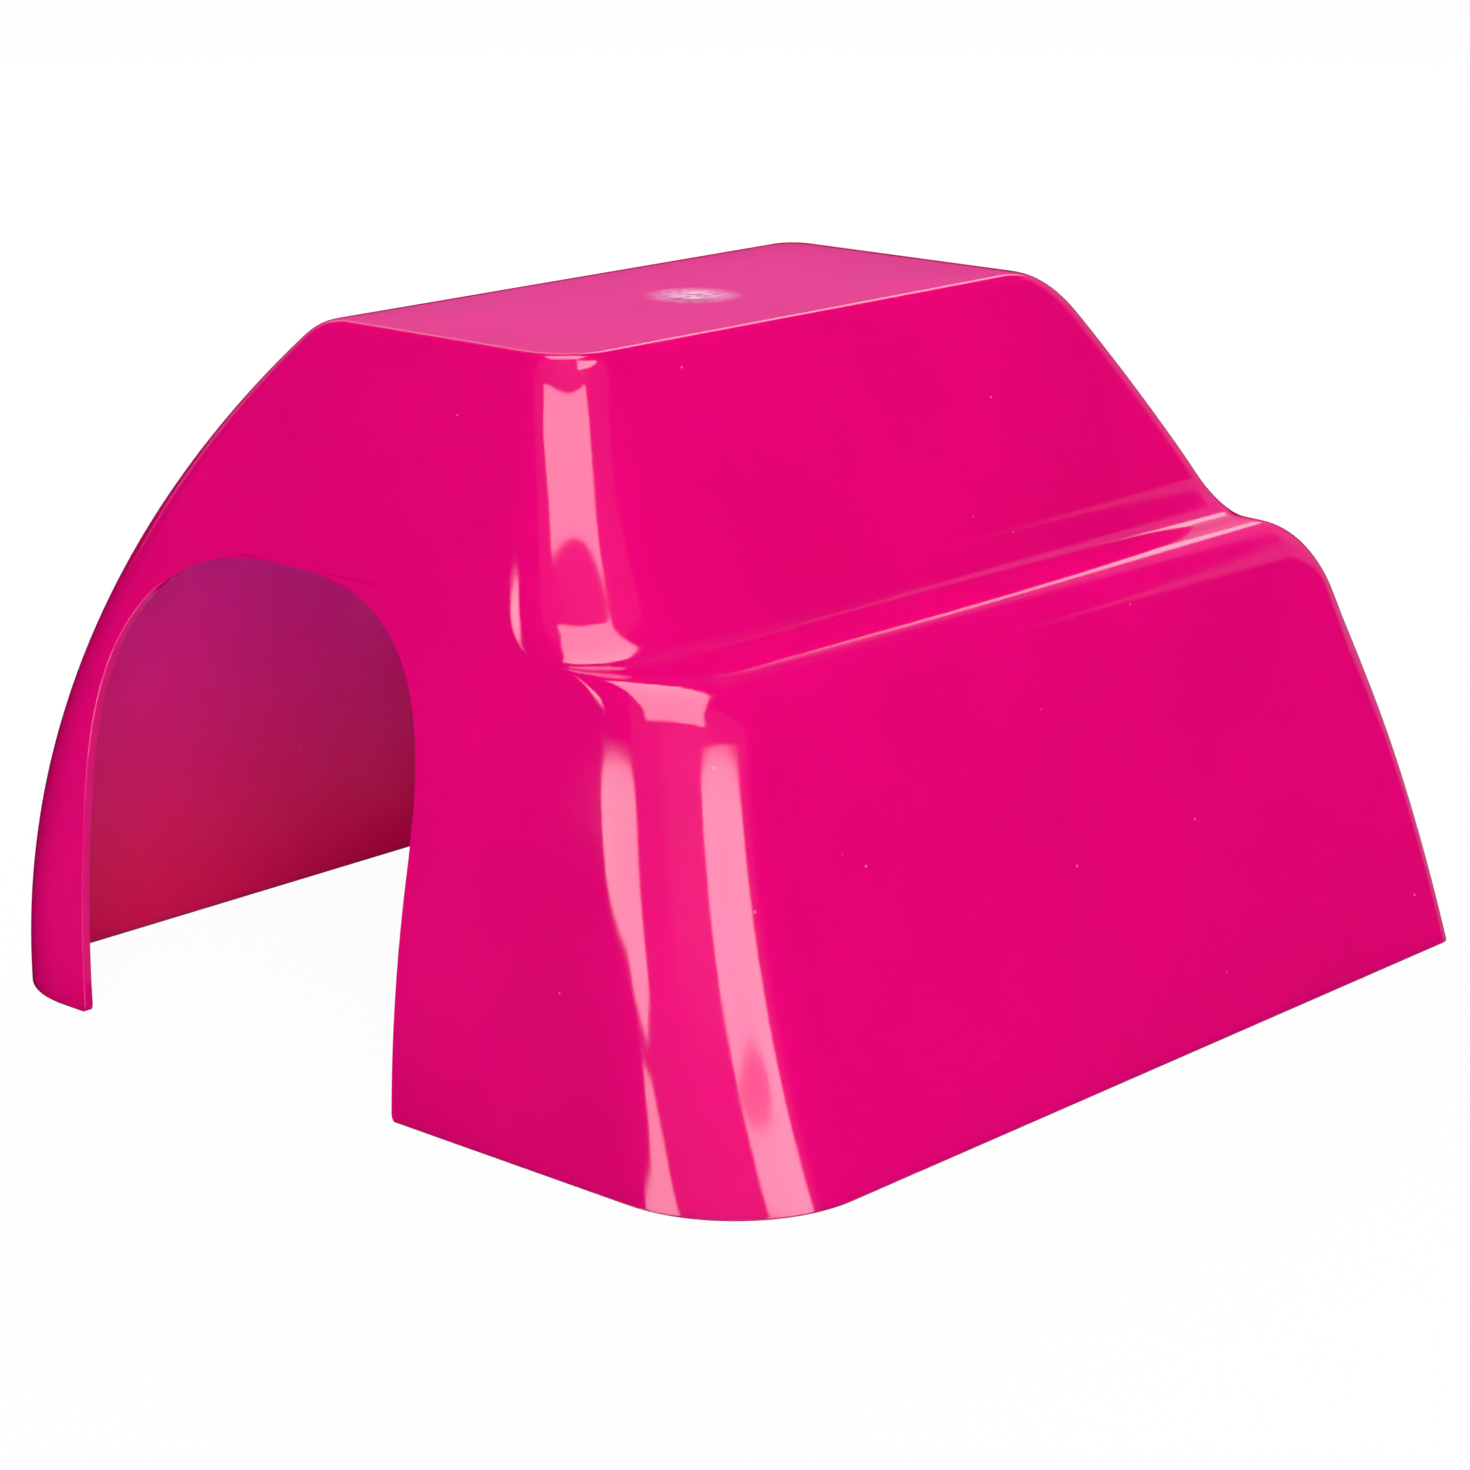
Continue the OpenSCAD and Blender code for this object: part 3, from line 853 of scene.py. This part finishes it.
# %% The dark studio round the house
studio_half = 50
studio_corners = [(x, y, z) for x in (-studio_half, studio_half)
                  for y in (-studio_half, studio_half) for z in (-studio_half, studio_half)]
studio_sides = [(0, 1, 3, 2), (4, 6, 7, 5), (0, 4, 5, 1), (2, 3, 7, 6), (0, 2, 6, 4), (1, 5, 7, 3)]
studio = plain_piece("dark studio", studio_corners, studio_sides)
gloss_sees(studio, 0.0, black)
print("studio", 2 * studio_half, "m wide")


# %% Floor
floor_half, floor_white = 8, 0.97
cabin_x, cabin_y, cabin_z = 0.105, 0.115, 0.0004


def level_piece(name, half_x, half_y, z):
    """Rectangle round the middle, facing up."""
    signs = [(-1, -1), (1, -1), (1, 1), (-1, 1)]
    return plain_piece(name, [(x * half_x, y * half_y, z) for x, y in signs], [(0, 1, 2, 3)])


floor = level_piece("floor", floor_half, floor_half, 0)
floor_paint = bpy.data.materials.new("pale floor")
floor_paint.use_nodes = True
tree = floor_paint.node_tree
paint = tree.nodes["Principled BSDF"]
paint.inputs["Base Color"].default_value = (0.8, 0.8, 0.8, 1)
paint.inputs["Roughness"].default_value = 0.9
glow = tree.nodes.new("ShaderNodeEmission")
glow.inputs["Strength"].default_value = 1.0
share = tree.nodes.new("ShaderNodeMixShader")
path = tree.nodes.new("ShaderNodeLightPath")
camera_share = node_math(tree, "MULTIPLY", path.outputs["Is Camera Ray"], floor_white)
tree.links.new(camera_share, share.inputs["Fac"])
tree.links.new(paint.outputs["BSDF"], share.inputs[1])
tree.links.new(glow.outputs["Emission"], share.inputs[2])
tree.links.new(share.outputs["Shader"], tree.nodes["Material Output"].inputs["Surface"])
floor.data.materials.append(floor_paint)
floor.visible_glossy = False

# %% What the satin walls mirror below them
cabin_floor = level_piece("cabin floor", cabin_x, cabin_y, cabin_z)
gloss_sees(cabin_floor, 0.5, (0.9, 0.4, 1.0))


# %% Lamps
def lamp(name, turn, rise, distance, size, power):
    """Square soft lamp aimed at the house, hidden from its gloss, its angles in degrees."""
    data = bpy.data.lights.new(name, "AREA")
    data.shape = "SQUARE"
    data.size = size
    data.energy = power
    made = bpy.data.objects.new(name, data)
    out = Vector(direction(np.radians(turn), np.radians(rise)))
    made.location = out * distance + Vector((0, 0, front_corner[2]))
    made.rotation_euler = out.to_track_quat("Z", "Y").to_euler()
    bpy.context.collection.objects.link(made)
    made.visible_glossy = False
    print(name, "at", [round(part, 2) for part in made.location])


lamp("camera side lamp", 6, 28, 2.0, 1.5, 27.8)
lamp("top lamp", 0, 85, 2.0, 1.6, 8)
lamp("back lamp", 180, 40, 2.0, 1.6, 45)

# %% Light under the roof
# It stands in for light that comes through the thin roof, and makes the cabin's top bluer.
through_data = bpy.data.lights.new("light through the roof", "POINT")
through_data.energy = 0.14
through_data.color = (0.25, 0.0, 1.0)
through_data.shadow_soft_size = 0.03
through = bpy.data.objects.new("light through the roof", through_data)
through.location = (-0.03, 0.02, 0.135)
bpy.context.collection.objects.link(through)
through.visible_glossy = False

# %% World: white where it is seen, dimmer as a lamp
world_white, world_light = 1.0, 0.25
world = bpy.data.worlds.new("studio")
bpy.context.scene.world = world
world.use_nodes = True
tree = world.node_tree
background = tree.nodes["Background"]
background.inputs["Color"].default_value = (1, 1, 1, 1)
path = tree.nodes.new("ShaderNodeLightPath")
seen = node_math(tree, "MAXIMUM", path.outputs["Is Camera Ray"], path.outputs["Is Glossy Ray"])
seen = node_math(tree, "MAXIMUM", seen, path.outputs["Is Transmission Ray"])
strength = node_math(tree, "MULTIPLY_ADD", seen, world_white - world_light, world_light)
tree.links.new(strength, background.inputs["Strength"])

bpy.context.scene.view_settings.view_transform = "Standard"
